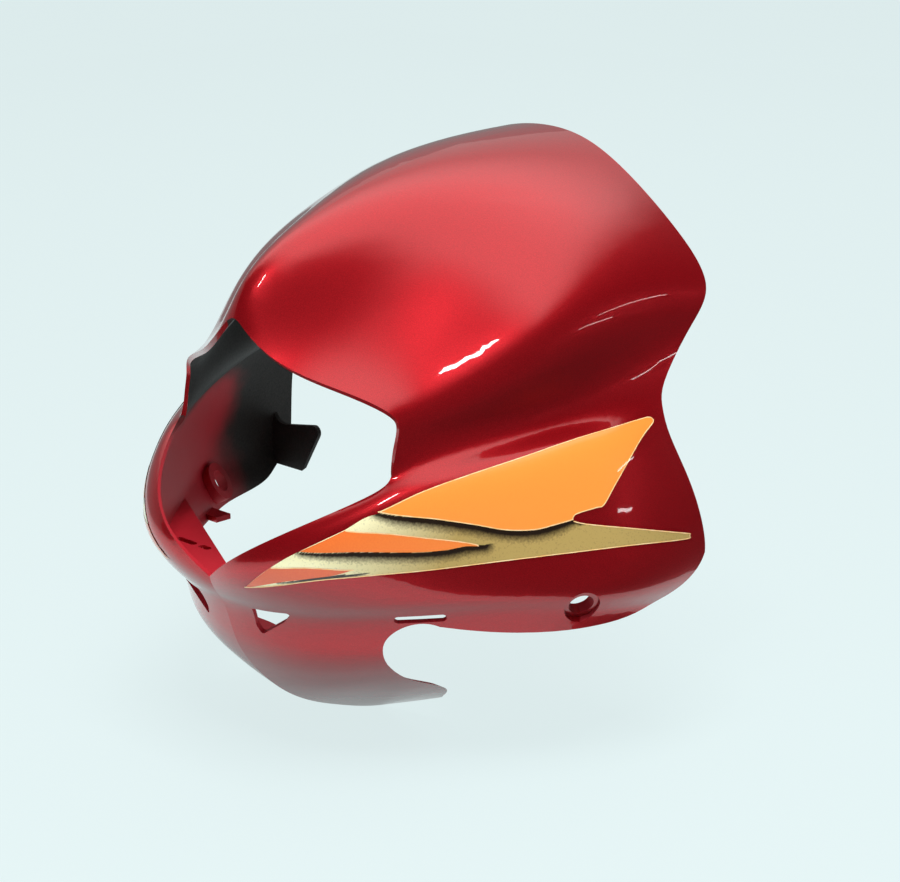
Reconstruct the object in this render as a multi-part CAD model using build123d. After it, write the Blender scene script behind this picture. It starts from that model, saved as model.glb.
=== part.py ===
from build123d import *
import os

import numpy as np

# Headlight cowl of a small motorbike: one moulded shell with a printed decal on each flank.
# The origin is the centre of the headlamp opening, +Y runs to the rear and +Z up.

# Overall size, from the centre of the headlamp opening
HALF_WIDTH = 153.0
BODY_LENGTH = 214.5
HOOD_HEIGHT = 131.8

# Moulded wall
WALL = 2.5

# Recessed hole for the rubber grommet, one on each side under the sill
GROMMET_BORE = 12.5
RECESS_DIAMETER = 18.0
RECESS_DEPTH = 1.6
GROMMET_SEAT = 6.0
BOSS_RIM = 2.0

# Slot in the underside
SLOT_LENGTH = 25.0
SLOT_WIDTH = 4.5

# Vent in the chin
VENT_CORNER = 1.5

# Ledge behind the lower rim of the headlamp opening, a wide V with two slots on each side
LEDGE_DROP = 64.0
LEDGE_THICKNESS = 2.5
LEDGE_FRONT = 10.0
LEDGE_SWEEP = 28.5
LEDGE_SLOT_WIDTH = 4.0
LEDGE_SLOT_ROW = 6.0
LONG_SLOT = 15.0
SHORT_SLOT = 8.0
SLOT_LAND = 3.0
SLOTS_FROM_MIDDLE = 37.0

# Ear that closes each rear lower corner
EAR_WIDTH = 45.0
EAR_HEIGHT = 30.0
EAR_TAPER = 22.0
EAR_RISE = 7.0
EAR_THICKNESS = 2.5
EAR_CORNER = 4.0
EAR_ROOT = 10.0

# Clip tab on the lower edge
TAB_REACH = 15.0
TAB_WIDTH = 10.0
TAB_THICKNESS = 3.0

# Printed film
DECAL_THICKNESS = 0.25
DECAL_GAP = 0.05

# Lines of the outer skin from the crown of the hood down to the keel. Each runs from the front
# edge to the rear edge in percent of half width, body length and hood height.
SKIN_LINES = {
    "hood centre": [
        (0, -2.5, 47.4), (0, 1.7, 61), (0, 20.1, 77.5),
        (0, 54.2, 93.9), (0, 81.3, 98.8), (0, 98.2, 99.8)],
    "ridge side": [
        (7.2, -2.4, 41.7), (8.8, 4.3, 54.4), (12.4, 21.8, 72.3),
        (19.7, 54.6, 89.5), (21.1, 80.9, 95.2), (20.7, 97.4, 96.6)],
    "hood inner": [
        (19.8, 0.7, 31.8), (21.6, 9.3, 40.9), (27.2, 26.5, 57.4),
        (40.5, 54.9, 77.4), (43.9, 79.4, 84.3), (43.5, 94.6, 85.6)],
    "hood outer": [
        (36.6, 7.3, 24.4), (37.8, 14.6, 29.8), (44.4, 29.4, 42.8),
        (60.2, 54.1, 63.2), (65.9, 77.5, 68.8), (67.1, 91.9, 68.1)],
    "shoulder": [
        (48.4, 11.7, 18), (49.9, 17.8, 22), (59.3, 30.1, 31.8),
        (73.8, 52.3, 48.6), (79, 75.3, 51.7), (82.2, 89.5, 50.8)],
    "under the shoulder": [
        (50.4, 12.6, 12), (53.9, 18.9, 15.1), (64.3, 31.9, 21.7),
        (74.1, 51.6, 31.3), (79.8, 71, 34.6), (82.4, 83.6, 36.3)],
    "waist": [
        (50.4, 11.8, 5.4), (53, 18.2, 7.5), (63.3, 34.3, 11.9),
        (71.3, 51.3, 15.1), (77.9, 64, 18), (83, 74.5, 18.8)],
    "above the crease": [
        (50, 10.5, -3), (54.3, 16.3, -0.7), (66.5, 33.6, 4),
        (75.8, 50.3, 7.2), (82.2, 61.6, 8.6), (85.6, 71.8, 9.8)],
    "crease": [
        (48.4, 6.5, -9.1), (55.1, 9.6, -7.5), (73.4, 31, -0.8),
        (83.1, 48.2, 3.3), (88.5, 60.2, 2.3), (89.5, 71.3, -0.8)],
    "upper belly": [
        (34, -6.3, -20.5), (46.8, -2.6, -21.8), (73.2, 24.6, -16),
        (87.9, 44.6, -13.2), (94.3, 59.1, -14.3), (96.1, 73.7, -19)],
    "lower belly": [
        (14.4, -13.5, -34.9), (34.5, -11, -38.4), (71.3, 20.4, -34.5),
        (90.7, 42, -32.9), (98.8, 58.5, -34.3), (100, 75.5, -39.5)],
    "sill top": [
        (-3.9, -10.3, -50.1), (25.3, -9.2, -51.3), (68, 17.2, -46.5),
        (90, 38.8, -47.2), (99.5, 56.7, -49.3), (99.3, 74.1, -51.6)],
    "sill bottom": [
        (-5.2, -8.4, -55.4), (23.4, -6.4, -56.6), (64.1, 17.6, -53.3),
        (86.1, 37.9, -54.7), (95.6, 54.8, -56.9), (96.1, 69.5, -59.9)],
    "underside": [
        (-5.2, -5.6, -66.8), (20.1, -3.1, -68), (55.6, 16.3, -66.2),
        (79.6, 36.1, -66.8), (90.4, 53, -68.2), (91.5, 65.3, -69.8)],
    "chin wall": [
        (-5.2, -0.5, -85.7), (16, 3.1, -89.3), (34.7, 16.8, -91.2),
        (55, 37.6, -95.2), (70.7, 54.2, -96.6), (75.2, 65.3, -97)],
    "keel": [
        (-5.2, 9.3, -102.4), (-3.9, 15.4, -109), (-3.9, 28, -118),
        (-3.9, 42.9, -125.4), (-3.9, 58.3, -129), (-3.9, 65.3, -130)],
}

# Free lower edge seen from the side, from the rear corner to the tip of the chin hook,
# in percent of body length and hood height
LOWER_EDGE = [
    (75.5, -44), (71.3, -52.5), (66.7, -57.1), (61.2, -60.5), (47, -63.2), (38.5, -63.7), (17.2, -59.9)]
HOOK_EDGE = [
    (17.2, -59.9), (11.2, -60.6), (9.4, -67.4), (9.9, -72), (13.8, -80.1), (22.9, -89.5), (29.9, -94.6),
    (32.8, -97.9), (35.6, -102), (40.7, -109.2)]

# Places on the skin: percent of the way round from hood centre to keel, and from front to rear
GROMMET_AT = (85.1, 72.2)
SLOT_AT = (88, 30.7)
VENT_CORNERS = [(86.1, 6.9), (85.4, 12.7), (89.5, 11.4), (93, 7.3), (91.5, 6.7)]
EAR_AT = (71.5, 96.8)
TAB_AT = (91.1, 65)
DECAL_CORNERS = [
    (74.9, 6), (69.9, 7.3), (67, 8), (63.5, 10), (60.8, 11.6), (58, 20.7), (56.1, 35.4), (55.4, 65.7),
    (51.8, 95.1), (53.5, 96.4), (59.7, 86.6), (65.6, 72.4), (66.7, 59), (67.3, 59), (68, 64.6), (70.2, 96.4),
    (70.7, 97.1), (71.3, 94.7), (72, 65.7), (71.9, 34.1), (71.7, 24.9), (72.1, 17.8), (75.4, 7.1)]

# The film is made this much past its outline all round, in the same percent, before it is trimmed
DECAL_MARGIN = 3

# Fineness of the grids that the skin's faces are fitted to, and how closely they are fitted
GRID_AROUND = 100
GRID_ALONG = 40
FIT_TOLERANCE = 0.01

# The left half runs a little past the middle plane before it is trimmed there
PAST_MIDDLE = 3

# Share of the skin over which its slopes are taken
SLOPE_STEP = 0.0001

SIZES = np.array([HALF_WIDTH, BODY_LENGTH, HOOD_HEIGHT])
REACH = 3 * max(HALF_WIDTH, BODY_LENGTH, HOOD_HEIGHT)
THROUGH_WALL = 3 * WALL


def knots(count):
    """Clamped, evenly spaced knots of a cubic B-spline with this many poles."""
    return np.concatenate([np.zeros(3), np.linspace(0, 1, count - 2), np.ones(3)])


def weights(count, places):
    """Share of each pole at places from 0 to 1: steps on the knot spans, blended degree by degree."""
    knot = knots(count)
    at = np.clip(np.asarray(places, float), 0, 1 - 1e-12)[:, None]
    share = ((knot[:-1] <= at) & (at < knot[1:])).astype(float)
    for degree in (1, 2, 3):
        span = knot[degree:] - knot[:-degree]
        slope = np.divide(1, span, out=np.zeros_like(span), where=span > 0)
        rise = (at - knot[:-degree][:-1]) * slope[:-1] * share[:, :-1]
        fall = (knot[degree + 1:] - at) * slope[1:] * share[:, 1:]
        share = rise + fall
    return share


def skin_poles():
    """Poles of the whole skin, right keel to left keel, corrected twice towards the skin lines."""
    left = np.array(list(SKIN_LINES.values())) / 100 * SIZES
    goal = np.concatenate([left[:0:-1] * (-1, 1, 1), left])
    across, along = goal.shape[:2]
    round_places = np.convolve(knots(across)[1:-1], np.ones(3) / 3, "valid")
    length_places = np.convolve(knots(along)[1:-1], np.ones(3) / 3, "valid")
    around = weights(across, round_places)
    lengthwise = weights(along, length_places)
    poles = goal
    for _ in range(2):
        poles = poles + goal - np.einsum("ik,jl,klm->ijm", around, lengthwise, poles)
    return poles


POLES = skin_poles()


def skin(around, along):
    """Points of the outer skin on a grid: around 0 at the hood centre, 1 at the left keel."""
    across_weights = weights(POLES.shape[0], (np.asarray(around) + 1) / 2)
    along_weights = weights(POLES.shape[1], along)
    return np.einsum("ik,jl,klm->ijm", across_weights, along_weights, POLES)


def skin_with_normals(around, along):
    """Points of the outer skin and the outward unit normals there."""
    points = skin(around, along)
    around, along = np.asarray(around), np.asarray(along)
    step = SLOPE_STEP
    across = skin(np.minimum(around + step, 1), along) - skin(np.maximum(around - step, -1), along)
    forward = skin(around, np.minimum(along + step, 1)) - skin(around, np.maximum(along - step, 0))
    normals = np.cross(across, forward)
    return points, normals / np.linalg.norm(normals, axis=-1, keepdims=True)


def skin_point(place):
    """Point of the skin at a place given in percent."""
    return Vector(*skin([place[0] / 100], [place[1] / 100])[0, 0].tolist())


def skin_plane(place):
    """Plane on the skin, z outward along the normal and x along the skin to the rear."""
    points, normals = skin_with_normals([place[0] / 100], [place[1] / 100])
    origin, normal = points[0, 0], normals[0, 0]
    ahead = skin([place[0] / 100], [place[1] / 100 + SLOPE_STEP])[0, 0] - origin
    return Plane(tuple(origin.tolist()), x_dir=tuple(ahead.tolist()), z_dir=tuple(normal.tolist()))


def offset_face(around, along, distance):
    """Smooth face at a distance outside the skin, inside where it is negative."""
    points, normals = skin_with_normals(around, along)
    grid = points + distance * normals
    rows = [[Vector(*point) for point in row] for row in grid.tolist()]
    return Face.make_surface_from_array_of_points(rows, tol=FIT_TOLERANCE, min_deg=3, max_deg=3)


def skin_layer(around, along, outer, inner):
    """Closed layer between two offsets of the skin, with ruled faces along its four edges."""
    outside = offset_face(around, along, outer)
    inside = offset_face(around, along, inner)
    sides = []
    for edge in outside.edges():
        partner = min(inside.edges(), key=lambda other: (other.center() - edge.center()).length)
        sides.append(Face.make_surface_from_curves(edge, partner))
    return Solid(Shell([outside, inside, *sides]))


def flat_outline(places, plane):
    """Polygon in the plane's own coordinates below the given places of the skin."""
    corners = [plane.to_local_coords(skin_point(place)) for place in places]
    return make_face(Polyline(*[(corner.X, corner.Y) for corner in corners], close=True))


def vent():
    """Prism through the skin on the corners of the chin vent, square to their mean plane."""
    corners = [skin_point(place) for place in VENT_CORNERS]
    normals = [skin_plane(place).z_dir for place in VENT_CORNERS]
    centre = sum(corners, Vector()) / len(corners)
    plane = Plane(centre, x_dir=corners[1] - corners[0], z_dir=sum(normals, Vector()))
    outline = fillet(flat_outline(VENT_CORNERS, plane).vertices(), VENT_CORNER)
    return extrude(plane * outline, amount=THROUGH_WALL, both=True)


def left_half(solid):
    """Part of a solid on the left of the middle plane."""
    return solid & Pos(REACH / 2, 0, 0) * Box(REACH, 2 * REACH, 2 * REACH)


def lower_cut():
    """Everything under the free lower edge and behind the chin hook, right across the cowl."""
    scale = (BODY_LENGTH / 100, HOOD_HEIGHT / 100)
    lower = [(y * scale[0], z * scale[1]) for y, z in LOWER_EDGE]
    hook = [(y * scale[0], z * scale[1]) for y, z in HOOK_EDGE]
    start, tip = lower[0], hook[-1]
    below = tip[1] - BODY_LENGTH
    behind = start[0] + BODY_LENGTH
    edges = [
        Spline(*lower),
        Spline(*hook),
        Polyline(tip, (tip[0], below), (behind, below), (behind, start[1]), start),
    ]
    return extrude(Plane.YZ * make_face(edges), amount=REACH, both=True)


def ledge():
    """Left half of the V-shaped ledge behind the lower rim, with its two slots."""
    slope = REACH * np.tan(np.radians(LEDGE_SWEEP))
    outline = make_face(Polyline(
        (0, -LEDGE_FRONT), (REACH, slope - LEDGE_FRONT), (REACH, -REACH), (0, -REACH), close=True))
    short_middle = SLOTS_FROM_MIDDLE + SHORT_SLOT / 2
    long_middle = SLOTS_FROM_MIDDLE + SHORT_SLOT + SLOT_LAND + LONG_SLOT / 2
    for middle, length in ((short_middle, SHORT_SLOT), (long_middle, LONG_SLOT)):
        outline -= Pos(middle, LEDGE_SLOT_ROW) * SlotOverall(length, LEDGE_SLOT_WIDTH)
    return extrude(Plane.XY.offset(-LEDGE_DROP) * outline, amount=-LEDGE_THICKNESS)


def ear():
    """Transverse plate that runs from the left wall inward, rises to a tip and narrows downward."""
    wall = skin_point(EAR_AT)
    root = wall.X - WALL
    inner = wall.X - EAR_WIDTH
    outline = make_face(Polyline(
        (inner, EAR_RISE), (root, 0), (root, 2 * EAR_ROOT), (REACH, 2 * EAR_ROOT), (REACH, -EAR_HEIGHT),
        (inner + EAR_TAPER, -EAR_HEIGHT), close=True))
    outline = fillet(outline.vertices().sort_by_distance((inner, EAR_RISE))[0], EAR_CORNER)
    outline = fillet(outline.vertices().sort_by_distance((root, 0))[0], EAR_ROOT)
    plane = Plane((0, wall.Y, wall.Z), x_dir=(1, 0, 0), z_dir=(0, -1, 0))
    return extrude(plane * outline, amount=EAR_THICKNESS)


def tab():
    """Clip tab that runs from the left wall inward beside the lower edge."""
    wall = skin_point(TAB_AT)
    length = TAB_REACH + REACH
    return Pos(wall.X - TAB_REACH + length / 2, wall.Y, wall.Z) * Box(length, TAB_WIDTH, TAB_THICKNESS)


def decal():
    """Printed film on the left flank, a thin layer of the skin inside its outline."""
    corners = np.array(DECAL_CORNERS)
    first = np.clip(corners.min(axis=0) - DECAL_MARGIN, 0, 100) / 100
    last = np.clip(corners.max(axis=0) + DECAL_MARGIN, 0, 100) / 100
    around = np.linspace(first[0], last[0], GRID_AROUND)
    along = np.linspace(first[1], last[1], GRID_ALONG)
    film = skin_layer(around, along, DECAL_GAP + DECAL_THICKNESS, DECAL_GAP)
    plane = Plane((0, 0, 0), x_dir=(1, 1, 0), z_dir=(1, -1, 0))
    outline = flat_outline(DECAL_CORNERS, plane)
    return film & extrude(plane * outline, amount=REACH, both=True)


def cowl():
    """The shell: left half with its features, trimmed, mirrored and joined."""
    around = np.linspace(-PAST_MIDDLE / 100, 1, GRID_AROUND)
    along = np.linspace(0, 1, GRID_ALONG)
    shell = skin_layer(around, along, 0, -WALL)
    core = extrude(offset_face(around, along, -WALL / 2), amount=REACH, dir=(-1, 0, 0))

    grommet = skin_plane(GROMMET_AT)
    boss_depth = RECESS_DEPTH + GROMMET_SEAT
    boss_radius = RECESS_DIAMETER / 2 + BOSS_RIM
    boss = extrude(grommet.offset(-boss_depth) * Circle(boss_radius), amount=boss_depth + WALL)
    shell += boss & core
    for piece in (ledge(), ear(), tab()):
        shell += piece & core

    shell -= extrude(grommet.offset(-RECESS_DEPTH) * Circle(RECESS_DIAMETER / 2), amount=REACH)
    shell -= extrude(grommet * Circle(GROMMET_BORE / 2), amount=2 * boss_depth, both=True)
    slot = skin_plane(SLOT_AT) * SlotOverall(SLOT_LENGTH, SLOT_WIDTH)
    shell -= extrude(slot, amount=THROUGH_WALL, both=True)
    shell -= vent()
    shell -= lower_cut()
    half = left_half(shell)
    return half + mirror(half, Plane.YZ)


os.makedirs("parts", exist_ok=True)
left_decal = decal()
export_step(cowl(), "parts/cowl_shell.step")
export_step(left_decal, "parts/left_decal.step")
export_step(mirror(left_decal, Plane.YZ), "parts/right_decal.step")
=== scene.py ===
import math

import bpy
import numpy as np
from mathutils import Matrix, Vector


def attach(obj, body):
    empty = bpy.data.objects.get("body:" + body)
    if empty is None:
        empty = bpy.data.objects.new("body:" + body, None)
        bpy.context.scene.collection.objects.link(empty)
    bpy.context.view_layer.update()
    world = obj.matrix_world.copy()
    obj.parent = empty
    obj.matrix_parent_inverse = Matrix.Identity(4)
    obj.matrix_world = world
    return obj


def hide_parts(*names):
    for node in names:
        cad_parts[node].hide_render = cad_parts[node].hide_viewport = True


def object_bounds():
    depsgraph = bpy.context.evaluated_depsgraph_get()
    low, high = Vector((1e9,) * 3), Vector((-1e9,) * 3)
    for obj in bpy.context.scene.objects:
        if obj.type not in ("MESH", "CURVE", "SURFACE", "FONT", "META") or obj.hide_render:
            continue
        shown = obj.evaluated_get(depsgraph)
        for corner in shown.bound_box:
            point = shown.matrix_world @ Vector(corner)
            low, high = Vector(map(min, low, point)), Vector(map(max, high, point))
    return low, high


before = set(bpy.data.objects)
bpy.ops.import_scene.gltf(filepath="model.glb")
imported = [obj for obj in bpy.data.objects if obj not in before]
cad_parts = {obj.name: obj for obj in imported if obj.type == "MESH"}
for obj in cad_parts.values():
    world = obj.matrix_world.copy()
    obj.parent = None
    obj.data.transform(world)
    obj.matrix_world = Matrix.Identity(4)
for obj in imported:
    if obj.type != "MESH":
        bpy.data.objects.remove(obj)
cad_box = [list(corner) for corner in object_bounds()]
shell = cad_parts["cowl_shell"]

# Sizes of the moulding in metres, from the centre of the headlamp opening
HALF_WIDTH = 0.153
BODY_LENGTH = 0.2145
HOOD_HEIGHT = 0.1318
WALL = 0.0025

# Lines of the outer skin from the crown of the hood down to the keel, as in the solid. Each runs from
# the front edge to the rear edge in percent of half width, body length and hood height.
SKIN_LINES = {
    "hood centre": [
        (0, -2.5, 47.4), (0, 1.7, 61), (0, 20.1, 77.5),
        (0, 54.2, 93.9), (0, 81.3, 98.8), (0, 98.2, 99.8)],
    "ridge side": [
        (7.2, -2.4, 41.7), (8.8, 4.3, 54.4), (12.4, 21.8, 72.3),
        (19.7, 54.6, 89.5), (21.1, 80.9, 95.2), (20.7, 97.4, 96.6)],
    "hood inner": [
        (19.8, 0.7, 31.8), (21.6, 9.3, 40.9), (27.2, 26.5, 57.4),
        (40.5, 54.9, 77.4), (43.9, 79.4, 84.3), (43.5, 94.6, 85.6)],
    "hood outer": [
        (36.6, 7.3, 24.4), (37.8, 14.6, 29.8), (44.4, 29.4, 42.8),
        (60.2, 54.1, 63.2), (65.9, 77.5, 68.8), (67.1, 91.9, 68.1)],
    "shoulder": [
        (48.4, 11.7, 18), (49.9, 17.8, 22), (59.3, 30.1, 31.8),
        (73.8, 52.3, 48.6), (79, 75.3, 51.7), (82.2, 89.5, 50.8)],
    "under the shoulder": [
        (50.4, 12.6, 12), (53.9, 18.9, 15.1), (64.3, 31.9, 21.7),
        (74.1, 51.6, 31.3), (79.8, 71, 34.6), (82.4, 83.6, 36.3)],
    "waist": [
        (50.4, 11.8, 5.4), (53, 18.2, 7.5), (63.3, 34.3, 11.9),
        (71.3, 51.3, 15.1), (77.9, 64, 18), (83, 74.5, 18.8)],
    "above the crease": [
        (50, 10.5, -3), (54.3, 16.3, -0.7), (66.5, 33.6, 4),
        (75.8, 50.3, 7.2), (82.2, 61.6, 8.6), (85.6, 71.8, 9.8)],
    "crease": [
        (48.4, 6.5, -9.1), (55.1, 9.6, -7.5), (73.4, 31, -0.8),
        (83.1, 48.2, 3.3), (88.5, 60.2, 2.3), (89.5, 71.3, -0.8)],
    "upper belly": [
        (34, -6.3, -20.5), (46.8, -2.6, -21.8), (73.2, 24.6, -16),
        (87.9, 44.6, -13.2), (94.3, 59.1, -14.3), (96.1, 73.7, -19)],
    "lower belly": [
        (14.4, -13.5, -34.9), (34.5, -11, -38.4), (71.3, 20.4, -34.5),
        (90.7, 42, -32.9), (98.8, 58.5, -34.3), (100, 75.5, -39.5)],
    "sill top": [
        (-3.9, -10.3, -50.1), (25.3, -9.2, -51.3), (68, 17.2, -46.5),
        (90, 38.8, -47.2), (99.5, 56.7, -49.3), (99.3, 74.1, -51.6)],
    "sill bottom": [
        (-5.2, -8.4, -55.4), (23.4, -6.4, -56.6), (64.1, 17.6, -53.3),
        (86.1, 37.9, -54.7), (95.6, 54.8, -56.9), (96.1, 69.5, -59.9)],
    "underside": [
        (-5.2, -5.6, -66.8), (20.1, -3.1, -68), (55.6, 16.3, -66.2),
        (79.6, 36.1, -66.8), (90.4, 53, -68.2), (91.5, 65.3, -69.8)],
    "chin wall": [
        (-5.2, -0.5, -85.7), (16, 3.1, -89.3), (34.7, 16.8, -91.2),
        (55, 37.6, -95.2), (70.7, 54.2, -96.6), (75.2, 65.3, -97)],
    "keel": [
        (-5.2, 9.3, -102.4), (-3.9, 15.4, -109), (-3.9, 28, -118),
        (-3.9, 42.9, -125.4), (-3.9, 58.3, -129), (-3.9, 65.3, -130)],
}

# Rounded rims: how far round each runs from the hood centre, in percent of the way to the keel
FRONT_RIM_END = 72.0
REAR_RIM_END = 73.0

# Stripes: curves on the skin in percent of the way round and of the way from front to rear.
# A point that is given twice is a corner.
FILM_TOP = [
    (74.9, 6.2), (70.1, 6.7), (67.6, 7.3), (65.2, 8.7), (63.6, 10), (61.6, 11.2),
    (61.3, 17.1), (63.4, 26.5), (65.4, 34.1), (66.6, 41.9), (66.7, 49.9), (66.6, 57.2),
    (67.3, 59.2), (67.3, 59.2), (67.9, 64.8), (69.2, 83.5), (70.2, 96), (70.5, 96.9)]
FILM_BOTTOM = [
    (74.9, 6.2), (74.7, 6.7), (71.9, 13.6), (71.2, 20.7), (71.4, 31.2),
    (71.5, 49.9), (71.4, 78.4), (71.2, 95.3), (70.5, 96.9)]
UPPER_TOP = [
    (61, 12), (58.4, 17.1), (56.8, 27.2), (55.7, 44.1),
    (54.4, 70.4), (52.1, 91.5), (51.9, 95.5), (52.9, 96.7)]
UPPER_BOTTOM = [
    (61, 12), (61.2, 12.5), (63.5, 23.6), (65.6, 32.1), (67.1, 38.8), (67.7, 45.7),
    (67.5, 52.1), (67.2, 59), (67.2, 59), (66.6, 60.1), (66.2, 68.8), (66, 72.2),
    (64.2, 76.4), (60.3, 84.6), (54.5, 95.1), (52.9, 96.7)]
MIDDLE_TOP = [(63.7, 10.2), (64.7, 18.3), (66.5, 26.5), (67.6, 31.2), (68.4, 34.1), (68.7, 34.5)]
MIDDLE_BOTTOM = [(67.1, 7.6), (67.1, 16.3), (68.2, 25.4), (68.5, 29.4), (68.4, 32.1), (68.7, 34.5)]
LOWER_TOP = [(70.1, 6.7), (69.4, 11.8), (69.9, 18.3)]
LOWER_BOTTOM = [(74.9, 6.2), (72.5, 9.8), (71.3, 13.4), (70.7, 16.3), (69.9, 18.3)]

# Orange fields: top curve, bottom curve, and how red the print is at the front and at the rear
STRIPES = {
    "upper": (UPPER_TOP, UPPER_BOTTOM, (0.10, 0.0)),
    "middle": (MIDDLE_TOP, MIDDLE_BOTTOM, (0.75, 0.30)),
    "lower": (LOWER_TOP, LOWER_BOTTOM, (1.0, 0.85)),
}

# Key lines: the edge that each follows, and a curve on the side to which it has its width
KEY_LINES = {
    "upper": (UPPER_TOP, UPPER_BOTTOM),
    "corner": (UPPER_BOTTOM, UPPER_TOP),
    "middle": (MIDDLE_TOP, MIDDLE_BOTTOM),
    "lower": (LOWER_TOP, LOWER_BOTTOM),
    "film": (FILM_BOTTOM, FILM_TOP),
    "tail": (FILM_TOP[12:], FILM_BOTTOM[5:]),
}

# Shades: the edge that each lies under, and its share of the full width at even steps from front to rear
SHADES = [
    (UPPER_BOTTOM[:8] + [(67.6, 62), (67.9, 64.8)], [0.7, 1, 1, 1, 1, 1, 1, 0.75, 0.1]),
    (MIDDLE_BOTTOM[:5] + [(68.6, 35.5)], [0.5, 0.8, 1, 1, 1, 1, 0.9]),
    (LOWER_BOTTOM[1:4] + [(70.6, 20.5)], [0.15, 0.3, 0.6, 0.75, 0.5, 0.1]),
]

# Heights of the printed layers above the skin, and widths of the print's soft shade and key line
FILM_LIFT = 0.00022
PRINT_LIFT = 0.00032
KEY_LIFT = 0.00040
KEY_WIDTH = 0.0005
SHADE_CORE = 0.0016
SHADE_REACH = 0.0068

# Tones along the print, as shares of the way to the rear: where the red tint has run out, where the
# cream ends, and over what length it fades
TINT_END = 0.35
CREAM_END = 0.30
CREAM_FADE = 0.18

# Grain of the print: how far noise moves the level of a shade, the level at which that would end, and
# how far noise moves the tint of the orange
DITHER = 0.9
DITHER_END = 1.15
HALFTONE = 0.22

# Points of the grids: steps in one span of a curve, columns and rows of film, field and rim,
# points along a key line and along a shaded edge
SPAN_STEPS = 24
FILM_GRID = (260, 60)
STRIPE_GRID = (150, 40)
RIM_GRID = (420, 11)
KEY_POINTS = 300
SHADE_POINTS = 240

# Red overspray inside: where it fades out to the rear and upwards, and how much its edge drifts
SPRAY_BACK = (0.125, 0.085)
SPRAY_TOP = (-0.002, -0.022)
SPRAY_DRIFT = 0.04

# Painted shade underneath: upward share of the normal from which the red darkens, to where it is darkest,
# and how much
UNDERSIDE = (0.0, -0.7)
UNDERSIDE_SHADE_SHARE = 0.6

# Point inside the cowl that the inner side faces
COWL_MIDDLE = (0, 0.105, -0.012)

# Colours of paint, plastic and print
FLAKE_DARK = (0.40, 0.004, 0.010)
FLAKE_LIGHT = (0.62, 0.010, 0.018)
# Dark red of the painted shade where the wall faces down
UNDERSIDE_SHADE_RED = (0.05, 0.006, 0.007, 1)
SPRAY_RED = (0.46, 0.016, 0.028, 1)
PLASTIC_DARK = (0.016, 0.013, 0.012)
PLASTIC_LIGHT = (0.030, 0.025, 0.023)
GOLD = (0.54, 0.37, 0.115, 1)
CREAM = (1.0, 0.92, 0.56, 1)
SHADE_BROWN = (0.020, 0.009, 0.004, 1)
ORANGE = (1.0, 0.30, 0.040)
DEEP_ORANGE = (0.92, 0.20, 0.028)
RED_ORANGE = (0.74, 0.095, 0.022)
KEY_WORN = (0.95, 0.50, 0.17)
KEY_PALE = (1.0, 0.72, 0.40)

# Camera: the photograph's viewing angle, aimed at the middle of the cowl
CAMERA_AZIMUTH = math.radians(44.3)
CAMERA_ELEVATION = math.radians(16.2)
CAMERA_DISTANCE = 1.158
CAMERA_TARGET = Vector((0, 0.140, -0.028))
CAMERA_LENS = 88.0
CAMERA_SENSOR = 36.0

# Room: its floor, ceiling and walls, and the levels at which the eye and the lacquer see the floor
FLOOR_HEIGHT = cad_box[0][2]
FLOOR_REACH = 6.0
CEILING = 1.35
RIGHT_WALL = 1.45
FRONT_WALL = -2.0
REAR_END = 2.6
LEFT_END = -2.6
DARK_FLOOR_FROM = 0.22
DARK_FLOOR_LIFT = 0.001
BACKDROP_COLOUR = (0.767, 0.887, 0.892, 1)
CARD_BLACK = (0.01, 0.01, 0.01, 1)
WORLD_LIGHT = 0.32
WALL_GLOW = 0.28
FLOOR_GLOW = 0.90
FLOOR_GLOSS = 0.45

# Ceiling glow: its level, how much its right edge slants, and where it fades to the right, to the
# front and to the far left corner, down to a level that is left there
GLOW_COLOUR = (1, 0.99, 0.97, 1)
GLOW_LEVEL = 1.4
GLOW_SLANT = 0.45
GLOW_ACROSS = (0.85, 0.40)
GLOW_ALONG = (-0.46, -0.04)
GLOW_FAR = (2.4, 0.9)
GLOW_FAR_LEVEL = 0.35

# Lamps: both ends of the middle line, width, radiance, and whether the lacquer mirrors the lamp.
# Ends on the ceiling are X and Y, on the right wall Y and Z. The drop is the gap to ceiling or wall.
LAMP_DROP = 0.05
CEILING_LAMPS = {
    "ceiling_panel": ((-0.75, -0.10), (-0.75, 2.40), 1.84, 0.8, False),
    "shoulder_strip": ((0.40, -0.50), (0.50, -0.80), 0.05, 60, True),
    "front_panel": ((0.15, -0.30), (0.95, -0.30), 0.8, 12, False),
    "near_hood_strip": ((0.06, 0.28), (-0.04, 0.50), 0.012, 9, True),
    "far_hood_strip": ((-0.04, 0.50), (-0.147, 1.04), 0.012, 9, True),
}
WALL_LAMPS = {
    "waist_strip": ((0.60, 0.42), (1.10, 0.56), 0.02, 12, True),
    "belly_strip": ((0.42, 0.17), (0.72, 0.14), 0.02, 12, True),
}


def knots(count):
    """Clamped, evenly spaced knots of a cubic B-spline with this many poles."""
    return np.concatenate([np.zeros(3), np.linspace(0, 1, count - 2), np.ones(3)])


def weights(count, places):
    """Share of each pole at places from 0 to 1: steps on the knot spans, blended degree by degree."""
    knot = knots(count)
    at = np.clip(np.asarray(places, float), 0, 1 - 1e-12)[:, None]
    share = ((knot[:-1] <= at) & (at < knot[1:])).astype(float)
    for degree in (1, 2, 3):
        span = knot[degree:] - knot[:-degree]
        slope = np.divide(1, span, out=np.zeros_like(span), where=span > 0)
        rise = (at - knot[:-degree][:-1]) * slope[:-1] * share[:, :-1]
        fall = (knot[degree + 1:] - at) * slope[1:] * share[:, 1:]
        share = rise + fall
    return share


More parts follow.
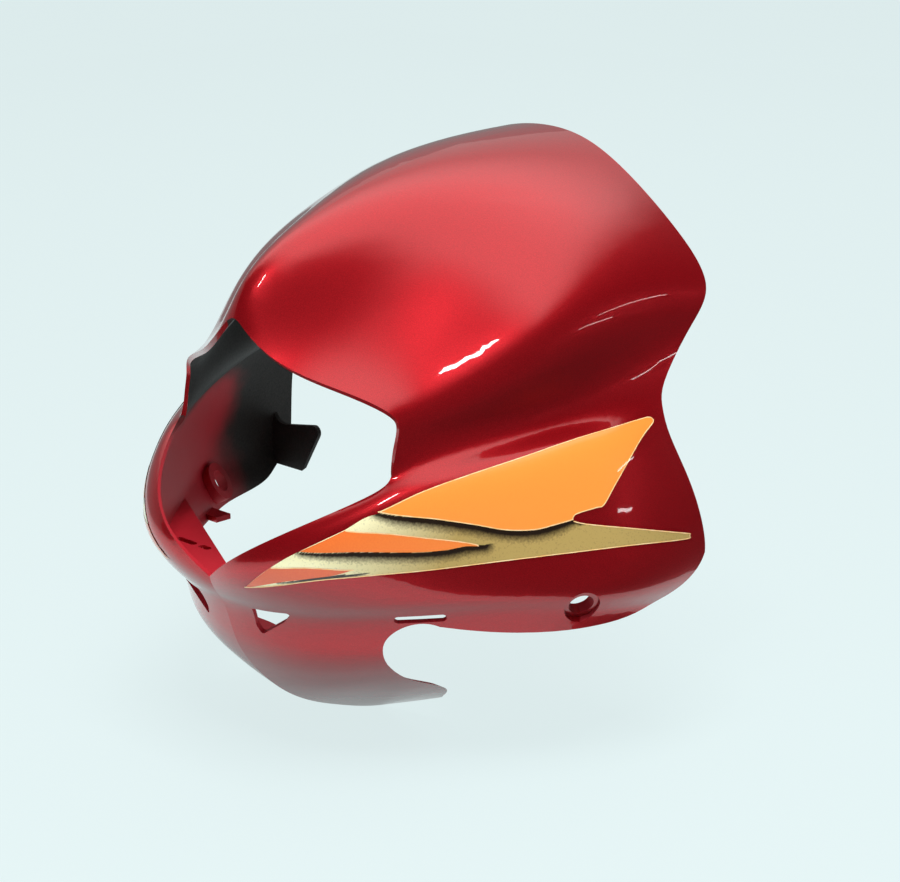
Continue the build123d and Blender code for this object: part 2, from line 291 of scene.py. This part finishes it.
def skin_poles():
    """Poles of the whole skin, right keel to left keel, corrected twice towards the skin lines."""
    left = np.array(list(SKIN_LINES.values())) / 100 * (HALF_WIDTH, BODY_LENGTH, HOOD_HEIGHT)
    goal = np.concatenate([left[:0:-1] * (-1, 1, 1), left])
    across, along = goal.shape[:2]
    around = weights(across, np.convolve(knots(across)[1:-1], np.ones(3) / 3, "valid"))
    lengthwise = weights(along, np.convolve(knots(along)[1:-1], np.ones(3) / 3, "valid"))
    poles = goal
    for _ in range(2):
        poles = poles + goal - np.einsum("ik,jl,klm->ijm", around, lengthwise, poles, optimize=True)
    return poles


POLES = skin_poles()


def skin(around, along):
    """Points of the outer skin at pairs of places: around 0 at the hood centre, 1 at the left keel."""
    shape = np.shape(around)
    across = weights(POLES.shape[0], (np.ravel(around) + 1) / 2)
    lengthwise = weights(POLES.shape[1], np.ravel(along))
    rows = np.einsum("nk,klm->nlm", across, POLES)
    return np.einsum("nl,nlm->nm", lengthwise, rows).reshape(*shape, 3)


def slopes(around, along, step=1e-4):
    """Slopes of the skin round the cowl and towards the rear, by small differences."""
    wide, long = np.minimum(around + step, 1), np.minimum(along + step, 1)
    narrow, short = np.maximum(around - step, -1), np.maximum(along - step, 0)
    return skin(wide, along) - skin(narrow, along), skin(around, long) - skin(around, short)


def unit(vectors):
    """Vectors of length one."""
    return vectors / np.linalg.norm(vectors, axis=-1, keepdims=True)


def lifted(around, along, height):
    """Points at a height above the skin, along its outward normal."""
    across, forward = slopes(around, along)
    return skin(around, along) + height * unit(np.cross(across, forward))


def curve(points, count):
    """Smooth curve through points, even in length: each span is a cubic whose end slopes are half
    the step between the neighbours on both sides, or none at a corner."""
    points = np.array(points, float)
    before = np.vstack([2 * points[0] - points[1], points[:-1]])
    after = np.vstack([points[1:], 2 * points[-1] - points[-2]])
    slope = (after - before) / 2
    corner = (points[1:] == points[:-1]).all(axis=1)
    slope[:-1][corner] = 0
    slope[1:][corner] = 0
    at = np.linspace(0, 1, SPAN_STEPS, endpoint=False)[None, :, None]
    start, end = points[:-1, None], points[1:, None]
    rise, fall = slope[:-1, None], slope[1:, None]
    spans = (start * (1 + 2 * at) * (1 - at) ** 2 + rise * at * (1 - at) ** 2
             + end * at ** 2 * (3 - 2 * at) + fall * at ** 2 * (at - 1))
    fine = np.vstack([spans.reshape(-1, 2), points[-1:]])
    run = np.concatenate([[0], np.cumsum(np.linalg.norm(np.diff(fine, axis=0), axis=1))])
    even = np.linspace(0, run[-1], count)
    return np.column_stack([np.interp(even, run, fine[:, 0]), np.interp(even, run, fine[:, 1])]) / 100


def grid_mesh(name, points, material, outward):
    """Piece from a grid of points, smooth, riding on the cowl; the grid's places become its UV map."""
    rows, columns = points.shape[:2]
    index = np.arange(rows * columns).reshape(rows, columns)
    corners = [index[:-1, :-1], index[:-1, 1:], index[1:, 1:], index[1:, :-1]]
    faces = np.stack(corners if outward else corners[::-1], axis=-1).reshape(-1, 4)
    mesh = bpy.data.meshes.new(name)
    mesh.from_pydata(points.reshape(-1, 3).tolist(), [], faces.tolist())
    mesh.polygons.foreach_set("use_smooth", np.ones(len(faces), bool))
    across, along = np.meshgrid(np.linspace(0, 1, columns), np.linspace(0, 1, rows))
    places = np.column_stack([across.ravel(), along.ravel()])
    mesh.uv_layers.new(name="grid").data.foreach_set("uv", places[faces.ravel()].ravel())
    mesh.materials.append(material)
    piece = bpy.data.objects.new(name, mesh)
    bpy.context.scene.collection.objects.link(piece)
    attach(piece, "root")
    return piece


def add_value(piece, name, values):
    """Puts one number on each point of a piece."""
    layer = piece.data.attributes.new(name, "FLOAT", "POINT")
    layer.data.foreach_set("value", np.ravel(values).astype(np.float32))


def field(top, bottom, columns, rows):
    """Places between two curves: row by row, top * (1 - v) + bottom * v."""
    v = np.linspace(0, 1, rows)[:, None, None]
    return curve(top, columns)[None] * (1 - v) + curve(bottom, columns)[None] * v


def shade_under(points, places):
    """Soft shade below printed edges: one within the core width of an edge, none past its reach or
    above the edge. A taper narrows both widths along the edge."""
    shade = np.zeros(points.shape[:2])
    for edge, taper in SHADES:
        line = curve(edge, SHADE_POINTS)
        width = np.interp(np.linspace(0, 1, SHADE_POINTS), np.linspace(0, 1, len(taper)), taper)
        samples = lifted(line[:, 0], line[:, 1], FILM_LIFT)
        gap = (np.linalg.norm(points[:, :, None] - samples, axis=-1) / width).min(axis=-1)
        below = places[..., 0] >= np.interp(places[..., 1], line[:, 1], line[:, 0])
        soft = np.clip((SHADE_REACH - gap) / (SHADE_REACH - SHADE_CORE), 0, 1)
        shade = np.maximum(shade, np.where(below, soft, 0))
    return shade


def mirrored(points, side):
    """Points on the left as they are, on the right with X turned round."""
    return points * (side, 1, 1)


def stripe(name, top, bottom, tint, material, side):
    """One printed field between two curves of the skin, with its tint from front to rear."""
    places = field(top, bottom, *STRIPE_GRID)
    points = mirrored(lifted(places[..., 0], places[..., 1], PRINT_LIFT), side)
    piece = grid_mesh(name, points, material, side < 0)
    front, rear = tint
    add_value(piece, "tint", front + (rear - front) * np.clip(places[..., 1] / TINT_END, 0, 1))


def key_line(name, path, inside, material, side):
    """Thin pale line along the edge of a field: a strip of constant width on the side of the inside
    curve, square to the path and to the skin's normal."""
    line, other = curve(path, KEY_POINTS), curve(inside, KEY_POINTS)
    points = lifted(line[:, 0], line[:, 1], KEY_LIFT)
    across, forward = slopes(line[:, 0], line[:, 1])
    normal = unit(np.cross(across, forward))
    square = unit(np.cross(normal, np.gradient(points, axis=0)))
    towards = lifted(other[:, 0], other[:, 1], KEY_LIFT) - points
    sign = np.sign((square * towards).sum())
    strip = np.stack([points, points + KEY_WIDTH * sign * square])
    grid_mesh(name, mirrored(strip, side), material, (sign > 0) != (side > 0))


def decal(hand, side, prints):
    """Printed film of one flank: gold base with soft shades, three orange fields and their key lines."""
    places = field(FILM_TOP, FILM_BOTTOM, *FILM_GRID)
    points = lifted(places[..., 0], places[..., 1], FILM_LIFT)
    film = mirrored(points, side)
    base = grid_mesh(hand + "_gold_film", film, prints["gold"], side < 0)
    add_value(base, "shade", shade_under(points, places))
    add_value(base, "cream", np.clip((CREAM_END - places[..., 1]) / CREAM_FADE, 0, 1))
    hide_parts(hand + "_decal")
    for part, (top, bottom, tint) in STRIPES.items():
        stripe(f"{hand}_{part}_stripe", top, bottom, tint, prints["orange"], side)
    for part, (path, inside) in KEY_LINES.items():
        key_line(f"{hand}_{part}_key", path, inside, prints["key"], side)


def rim(name, along, end, forward_sign, material):
    """Rounded edge of the wall: a half circle across the wall, carried round the cowl along its edge."""
    columns, rows = RIM_GRID
    around = np.linspace(-end / 100, end / 100, columns)
    place = np.full_like(around, along)
    across, forward = slopes(around, place)
    normal = unit(np.cross(across, forward))
    run = unit(across)
    ahead = unit(np.cross(run, normal)) * forward_sign
    centre = skin(around, place) - normal * WALL / 2
    turn = np.linspace(-math.pi / 2, math.pi / 2, rows)[:, None, None]
    points = centre + WALL / 2 * (np.sin(turn) * normal + np.cos(turn) * ahead)
    grid_mesh(name, points, material, forward_sign > 0)


def node(tree, kind, **settings):
    """New shader node of a kind, with its properties and sockets set by name."""
    made = tree.nodes.new(kind)
    for name, value in settings.items():
        if name in made.inputs:
            made.inputs[name].default_value = value
        else:
            setattr(made, name, value)
    return made


def new_material(name):
    """Node material with a Principled shader."""
    material = bpy.data.materials.new(name)
    material.use_nodes = True
    return material, material.node_tree, material.node_tree.nodes["Principled BSDF"]


def show(tree, shader):
    """Makes a shader the surface of its material."""
    tree.links.new(shader.outputs[0], tree.nodes["Material Output"].inputs["Surface"])


def own_coordinates(tree):
    """Coordinates of the piece itself, in metres."""
    return tree.nodes.new("ShaderNodeTexCoord").outputs["Object"]


def split(tree, vector):
    """Node that gives the three parts of a vector by name."""
    parts = tree.nodes.new("ShaderNodeSeparateXYZ")
    tree.links.new(vector, parts.inputs[0])
    return parts


def noise(tree, coordinates, **settings):
    """Value of a noise texture."""
    texture = node(tree, "ShaderNodeTexNoise", **settings)
    tree.links.new(coordinates, texture.inputs["Vector"])
    return texture.outputs["Fac"]


def ramp(tree, value, stops):
    """Colour of a value on a ramp through (position, colour) stops."""
    made = tree.nodes.new("ShaderNodeValToRGB")
    elements = made.color_ramp.elements
    while len(elements) < len(stops):
        elements.new(0.5)
    for element, (position, colour) in zip(elements, stops):
        element.position = position
        element.color = (*colour, 1)
    tree.links.new(value, made.inputs["Fac"])
    return made.outputs[0]


def math_node(tree, operation, first, second):
    """Arithmetic on two node outputs or plain numbers."""
    made = node(tree, "ShaderNodeMath", operation=operation)
    for socket, value in enumerate((first, second)):
        if isinstance(value, (int, float)):
            made.inputs[socket].default_value = value
        else:
            tree.links.new(value, made.inputs[socket])
    return made.outputs[0]


def spread(tree, value, width):
    """Noise about a middle of zero: (value - 0.5) * width."""
    return math_node(tree, "MULTIPLY", math_node(tree, "SUBTRACT", value, 0.5), width)


def smooth_step(tree, value, start, end):
    """Smooth rise from zero at start to one at end."""
    made = node(tree, "ShaderNodeMapRange", interpolation_type="SMOOTHSTEP")
    made.inputs["From Min"].default_value = start
    made.inputs["From Max"].default_value = end
    tree.links.new(value, made.inputs["Value"])
    return made.outputs[0]


def mix_colours(tree, share, first, second):
    """Colour from the first to the second as the share rises; each is a node output or a fixed colour."""
    made = node(tree, "ShaderNodeMix", data_type="RGBA")
    tree.links.new(share, made.inputs["Factor"])
    for socket, colour in (("A", first), ("B", second)):
        if isinstance(colour, tuple):
            made.inputs[socket].default_value = colour
        else:
            tree.links.new(colour, made.inputs[socket])
    return made.outputs["Result"]


def mix_shaders(tree, share, first, second):
    """Shader from the first to the second as the share rises."""
    made = tree.nodes.new("ShaderNodeMixShader")
    tree.links.new(share, made.inputs["Fac"])
    tree.links.new(first.outputs[0], made.inputs[1])
    tree.links.new(second.outputs[0], made.inputs[2])
    return made


def bump(tree, height, strength, distance):
    """Normal of a surface that a height makes uneven."""
    made = node(tree, "ShaderNodeBump", Strength=strength, Distance=distance)
    tree.links.new(height, made.inputs["Height"])
    return made.outputs[0]


def lacquer(shader):
    """Clear lacquer over a print or paint."""
    shader.inputs["Coat Weight"].default_value = 1.0
    shader.inputs["Coat Roughness"].default_value = 0.03
    shader.inputs["Coat IOR"].default_value = 1.5


def flake_red(tree, coordinates):
    """Red metallic flake: two close reds mixed by a very fine noise."""
    flake = noise(tree, coordinates, Scale=2600.0, Detail=2.0, Roughness=0.7)
    return ramp(tree, flake, [(0.35, FLAKE_DARK), (0.65, FLAKE_LIGHT)])


def orange_peel(tree, coordinates):
    """Faint waviness of sprayed lacquer."""
    wave = noise(tree, coordinates, Scale=220.0, Detail=1.0)
    return bump(tree, wave, strength=0.05, distance=0.0002)


def painted_underside_shade(tree, red, normal):
    """Painted shade: the red darkens where the wall faces down."""
    under = smooth_step(tree, split(tree, normal).outputs["Z"], *UNDERSIDE)
    return mix_colours(tree, math_node(tree, "MULTIPLY", under, UNDERSIDE_SHADE_SHARE), red, UNDERSIDE_SHADE_RED)


def inner_side(tree, coordinates, normal):
    """One where the wall faces the middle of the cowl, none outside."""
    offset = node(tree, "ShaderNodeVectorMath", operation="SUBTRACT")
    tree.links.new(coordinates, offset.inputs[0])
    offset.inputs[1].default_value = COWL_MIDDLE
    facing = node(tree, "ShaderNodeVectorMath", operation="DOT_PRODUCT")
    tree.links.new(normal, facing.inputs[0])
    tree.links.new(offset.outputs[0], facing.inputs[1])
    return math_node(tree, "LESS_THAN", facing.outputs["Value"], 0.0)


def overspray(tree, coordinates):
    """Share of overspray: full low at the front, fading to the rear and upwards with a cloudy edge."""
    drift = spread(tree, noise(tree, coordinates, Scale=28.0, Detail=4.0), SPRAY_DRIFT)
    place = split(tree, coordinates)
    front = smooth_step(tree, math_node(tree, "ADD", place.outputs["Y"], drift), *SPRAY_BACK)
    low = smooth_step(tree, math_node(tree, "ADD", place.outputs["Z"], drift), *SPRAY_TOP)
    return math_node(tree, "MULTIPLY", front, low)


def bare_plastic(tree, coordinates):
    """Dark grained plastic with red overspray."""
    plastic = node(tree, "ShaderNodeBsdfPrincipled", Roughness=0.55)
    plastic.inputs["Specular IOR Level"].default_value = 0.2
    grain = noise(tree, coordinates, Scale=900.0, Detail=3.0)
    dark = ramp(tree, grain, [(0.3, PLASTIC_DARK), (0.7, PLASTIC_LIGHT)])
    colour = mix_colours(tree, overspray(tree, coordinates), dark, SPRAY_RED)
    tree.links.new(colour, plastic.inputs["Base Color"])
    tree.links.new(bump(tree, grain, strength=0.25, distance=0.0003), plastic.inputs["Normal"])
    return plastic


def red_lacquer(name, inside):
    """Metallic red under clear lacquer. On the moulding the red darkens underneath as painted shade, and
    the inner side is bare plastic."""
    material, tree, shader = new_material(name)
    coordinates = own_coordinates(tree)
    lacquer(shader)
    shader.inputs["Metallic"].default_value = 0.7
    shader.inputs["Roughness"].default_value = 0.36
    tree.links.new(orange_peel(tree, coordinates), shader.inputs["Coat Normal"])
    red = flake_red(tree, coordinates)
    if inside:
        normal = tree.nodes.new("ShaderNodeNewGeometry").outputs["True Normal"]
        # Painted shade: the red darkens where the wall faces down
        red = painted_underside_shade(tree, red, normal)
        inner = inner_side(tree, coordinates, normal)
        show(tree, mix_shaders(tree, inner, shader, bare_plastic(tree, coordinates)))
    tree.links.new(red, shader.inputs["Base Color"])
    return material


def gold_print():
    """Gold print that darkens under the orange fields with a dithered edge and pales to the front."""
    material, tree, shader = new_material("gold_print")
    lacquer(shader)
    shader.inputs["Roughness"].default_value = 0.4
    shader.inputs["Metallic"].default_value = 0.15
    shade = node(tree, "ShaderNodeAttribute", attribute_name="shade").outputs["Fac"]
    cream = node(tree, "ShaderNodeAttribute", attribute_name="cream").outputs["Fac"]
    grain = spread(tree, noise(tree, own_coordinates(tree), Scale=1000.0, Detail=1.0), DITHER)
    edge = math_node(tree, "MULTIPLY", grain, math_node(tree, "SUBTRACT", DITHER_END, shade))
    dark = ramp(tree, math_node(tree, "ADD", shade, edge), [(0.08, (0, 0, 0)), (0.92, (1, 1, 1))])
    colour = mix_colours(tree, dark, mix_colours(tree, cream, GOLD, CREAM), SHADE_BROWN)
    tree.links.new(colour, shader.inputs["Base Color"])
    return material


def orange_print():
    """Orange print that deepens to red orange where the tint says, with a fine halftone grain."""
    material, tree, shader = new_material("orange_print")
    lacquer(shader)
    shader.inputs["Roughness"].default_value = 0.4
    tint = node(tree, "ShaderNodeAttribute", attribute_name="tint").outputs["Fac"]
    grain = spread(tree, noise(tree, own_coordinates(tree), Scale=1200.0, Detail=2.0), HALFTONE)
    stops = [(0.0, ORANGE), (0.5, DEEP_ORANGE), (1.0, RED_ORANGE)]
    tree.links.new(ramp(tree, math_node(tree, "ADD", tint, grain), stops), shader.inputs["Base Color"])
    return material


def key_print():
    """Pale key line with a little wear."""
    material, tree, shader = new_material("key_line_print")
    lacquer(shader)
    wear = noise(tree, own_coordinates(tree), Scale=260.0, Detail=2.0)
    colour = ramp(tree, wear, [(0.3, KEY_WORN), (0.7, KEY_PALE)])
    tree.links.new(colour, shader.inputs["Base Color"])
    return material


def backdrop_rays(tree):
    """One for what the eye sees, directly, in gloss or through a gap, and none for light on the object."""
    path = tree.nodes.new("ShaderNodeLightPath").outputs
    plain = math_node(tree, "MAXIMUM", path["Is Camera Ray"], path["Is Transmission Ray"])
    return math_node(tree, "MAXIMUM", plain, path["Is Glossy Ray"])


def studio():
    """Pale studio: the backdrop shows to the eye, in gloss and through gaps, and lights softly."""
    scene = bpy.context.scene
    scene.view_settings.view_transform = "Standard"
    world = bpy.data.worlds.new("studio")
    scene.world = world
    world.use_nodes = True
    tree = world.node_tree
    tree.nodes.clear()
    out = tree.nodes.new("ShaderNodeOutputWorld")
    seen = node(tree, "ShaderNodeBackground", Color=BACKDROP_COLOUR, Strength=1.0)
    light = node(tree, "ShaderNodeBackground", Color=(1, 1, 1, 1), Strength=WORLD_LIGHT)
    mix = mix_shaders(tree, backdrop_rays(tree), light, seen)
    tree.links.new(mix.outputs[0], out.inputs["Surface"])


def floor_paint():
    """Pale floor that glows in the backdrop's colour to the eye, less in gloss, and keeps a shadow."""
    material, tree, shader = new_material("pale_floor")
    shader.inputs["Base Color"].default_value = BACKDROP_COLOUR
    shader.inputs["Roughness"].default_value = 0.9
    glow = node(tree, "ShaderNodeEmission", Color=BACKDROP_COLOUR, Strength=1.0)
    gloss = tree.nodes.new("ShaderNodeLightPath").outputs["Is Glossy Ray"]
    full = math_node(tree, "MULTIPLY", backdrop_rays(tree), FLOOR_GLOW)
    less = math_node(tree, "MULTIPLY", gloss, FLOOR_GLOW - FLOOR_GLOSS)
    show(tree, mix_shaders(tree, math_node(tree, "SUBTRACT", full, less), shader, glow))
    return material


def sheet(name, corner, first, second, material):
    """Flat sheet of the studio: corner + s * first + t * second for s and t from 0 to 1."""
    s, t = np.meshgrid(np.linspace(0, 1, 2), np.linspace(0, 1, 2))
    points = np.array(corner) + s[..., None] * np.array(first) + t[..., None] * np.array(second)
    mesh = bpy.data.meshes.new(name)
    mesh.from_pydata(points.reshape(-1, 3).tolist(), [], [(0, 1, 3, 2)])
    mesh.materials.append(material)
    piece = bpy.data.objects.new(name, mesh)
    bpy.context.scene.collection.objects.link(piece)
    return piece


def card(name, corner, first, second, material):
    """Sheet that shows only in gloss."""
    piece = sheet(name, corner, first, second, material)
    piece.visible_camera = False
    piece.visible_diffuse = False
    piece.visible_transmission = False
    piece.visible_shadow = False


def floor():
    """Wide pale floor under the keel."""
    side = 2 * FLOOR_REACH
    corner = (-FLOOR_REACH, -FLOOR_REACH, FLOOR_HEIGHT)
    sheet("floor", corner, (side, 0, 0), (0, side, 0), floor_paint())


def glow_material(name, colour):
    """Material that only glows, with its tree and its glow."""
    material, tree, shader = new_material(name)
    tree.nodes.remove(shader)
    glow = node(tree, "ShaderNodeEmission", Color=colour)
    show(tree, glow)
    return material, tree, glow


def ceiling_light():
    """Glow with soft edges that fades to the right, to the front and to the far left corner."""
    material, tree, glow = glow_material("ceiling_glow", GLOW_COLOUR)
    place = split(tree, own_coordinates(tree)).outputs
    slant = math_node(tree, "MULTIPLY", place["Y"], GLOW_SLANT)
    across = smooth_step(tree, math_node(tree, "ADD", place["X"], slant), *GLOW_ACROSS)
    along = smooth_step(tree, place["Y"], *GLOW_ALONG)
    near = smooth_step(tree, math_node(tree, "SUBTRACT", place["Y"], place["X"]), *GLOW_FAR)
    near = math_node(tree, "ADD", math_node(tree, "MULTIPLY", near, 1 - GLOW_FAR_LEVEL), GLOW_FAR_LEVEL)
    level = math_node(tree, "MULTIPLY", near, math_node(tree, "MULTIPLY", across, along))
    tree.links.new(math_node(tree, "MULTIPLY", level, GLOW_LEVEL), glow.inputs["Strength"])
    return material


def room():
    """What the lacquer mirrors: dark cards over, before and beside the cowl and on the floor beside it,
    grey walls behind it, and the glow under the ceiling."""
    black, _, shader = new_material("dark_card")
    shader.inputs["Base Color"].default_value = CARD_BLACK
    shader.inputs["Roughness"].default_value = 1.0
    grey, _, glow = glow_material("grey_wall", BACKDROP_COLOUR)
    glow.inputs["Strength"].default_value = WALL_GLOW
    width = (RIGHT_WALL - LEFT_END, 0, 0)
    length = (0, REAR_END - FRONT_WALL, 0)
    height = (0, 0, CEILING - FLOOR_HEIGHT)
    card("ceiling_card", (LEFT_END, FRONT_WALL, CEILING), width, length, black)
    card("right_card", (RIGHT_WALL, FRONT_WALL, FLOOR_HEIGHT), length, height, black)
    card("front_card", (LEFT_END, FRONT_WALL, FLOOR_HEIGHT), width, height, black)
    floor_corner = (DARK_FLOOR_FROM, FRONT_WALL, FLOOR_HEIGHT + DARK_FLOOR_LIFT)
    card("floor_card", floor_corner, (RIGHT_WALL - DARK_FLOOR_FROM, 0, 0), length, black)
    card("left_wall", (LEFT_END, FRONT_WALL, FLOOR_HEIGHT), length, height, grey)
    card("rear_wall", (LEFT_END, REAR_END, FLOOR_HEIGHT), width, height, grey)
    glow_corner = (LEFT_END, FRONT_WALL, CEILING - LAMP_DROP / 2)
    card("ceiling_glow", glow_corner, width, length, ceiling_light())


def area_light(name, start, end, facing, width, radiance, in_gloss):
    """Soft light of a width along a line, facing a direction. Its power is radiance * pi * area."""
    start, end, facing = Vector(start), Vector(end), Vector(facing)
    lamp = bpy.data.lights.new(name, "AREA")
    lamp.shape = "RECTANGLE"
    lamp.size = (end - start).length
    lamp.size_y = width
    lamp.energy = radiance * math.pi * lamp.size * lamp.size_y
    ahead = (end - start).normalized()
    across = (-facing).cross(ahead)
    holder = bpy.data.objects.new(name, lamp)
    holder.matrix_world = Matrix((ahead, across, -facing)).transposed().to_4x4()
    holder.location = (start + end) / 2
    holder.visible_glossy = in_gloss
    bpy.context.scene.collection.objects.link(holder)


def lights():
    """Ceiling panels that light the cowl, and narrow strips that draw bright lines in the lacquer."""
    top = CEILING - LAMP_DROP
    for name, (start, end, *looks) in CEILING_LAMPS.items():
        area_light(name, (*start, top), (*end, top), (0, 0, -1), *looks)
    wall = RIGHT_WALL - LAMP_DROP
    for name, (start, end, *looks) in WALL_LAMPS.items():
        area_light(name, (wall, *start), (wall, *end), (-1, 0, 0), *looks)


def camera():
    """Camera of the photograph."""
    lens = bpy.data.cameras.new("photo_camera")
    lens.lens = CAMERA_LENS
    lens.sensor_width = CAMERA_SENSOR
    lens.clip_start = 0.01
    holder = bpy.data.objects.new("photo_camera", lens)
    level = math.cos(CAMERA_ELEVATION)
    back = Vector((
        math.sin(CAMERA_AZIMUTH) * level,
        -math.cos(CAMERA_AZIMUTH) * level,
        math.sin(CAMERA_ELEVATION)))
    holder.location = CAMERA_TARGET + back * CAMERA_DISTANCE
    holder.rotation_mode = "QUATERNION"
    holder.rotation_quaternion = (-back).to_track_quat("-Z", "Y")
    bpy.context.scene.collection.objects.link(holder)
    bpy.context.scene.camera = holder


shell.data.materials.clear()
shell.data.materials.append(red_lacquer("shell_lacquer", True))
rim_paint = red_lacquer("rim_lacquer", False)
rim("front_rim", 0.0, FRONT_RIM_END, -1, rim_paint)
rim("rear_rim", 1.0, REAR_RIM_END, 1, rim_paint)
prints = {"gold": gold_print(), "orange": orange_print(), "key": key_print()}
decal("left", 1, prints)
decal("right", -1, prints)
studio()
floor()
room()
lights()
camera()
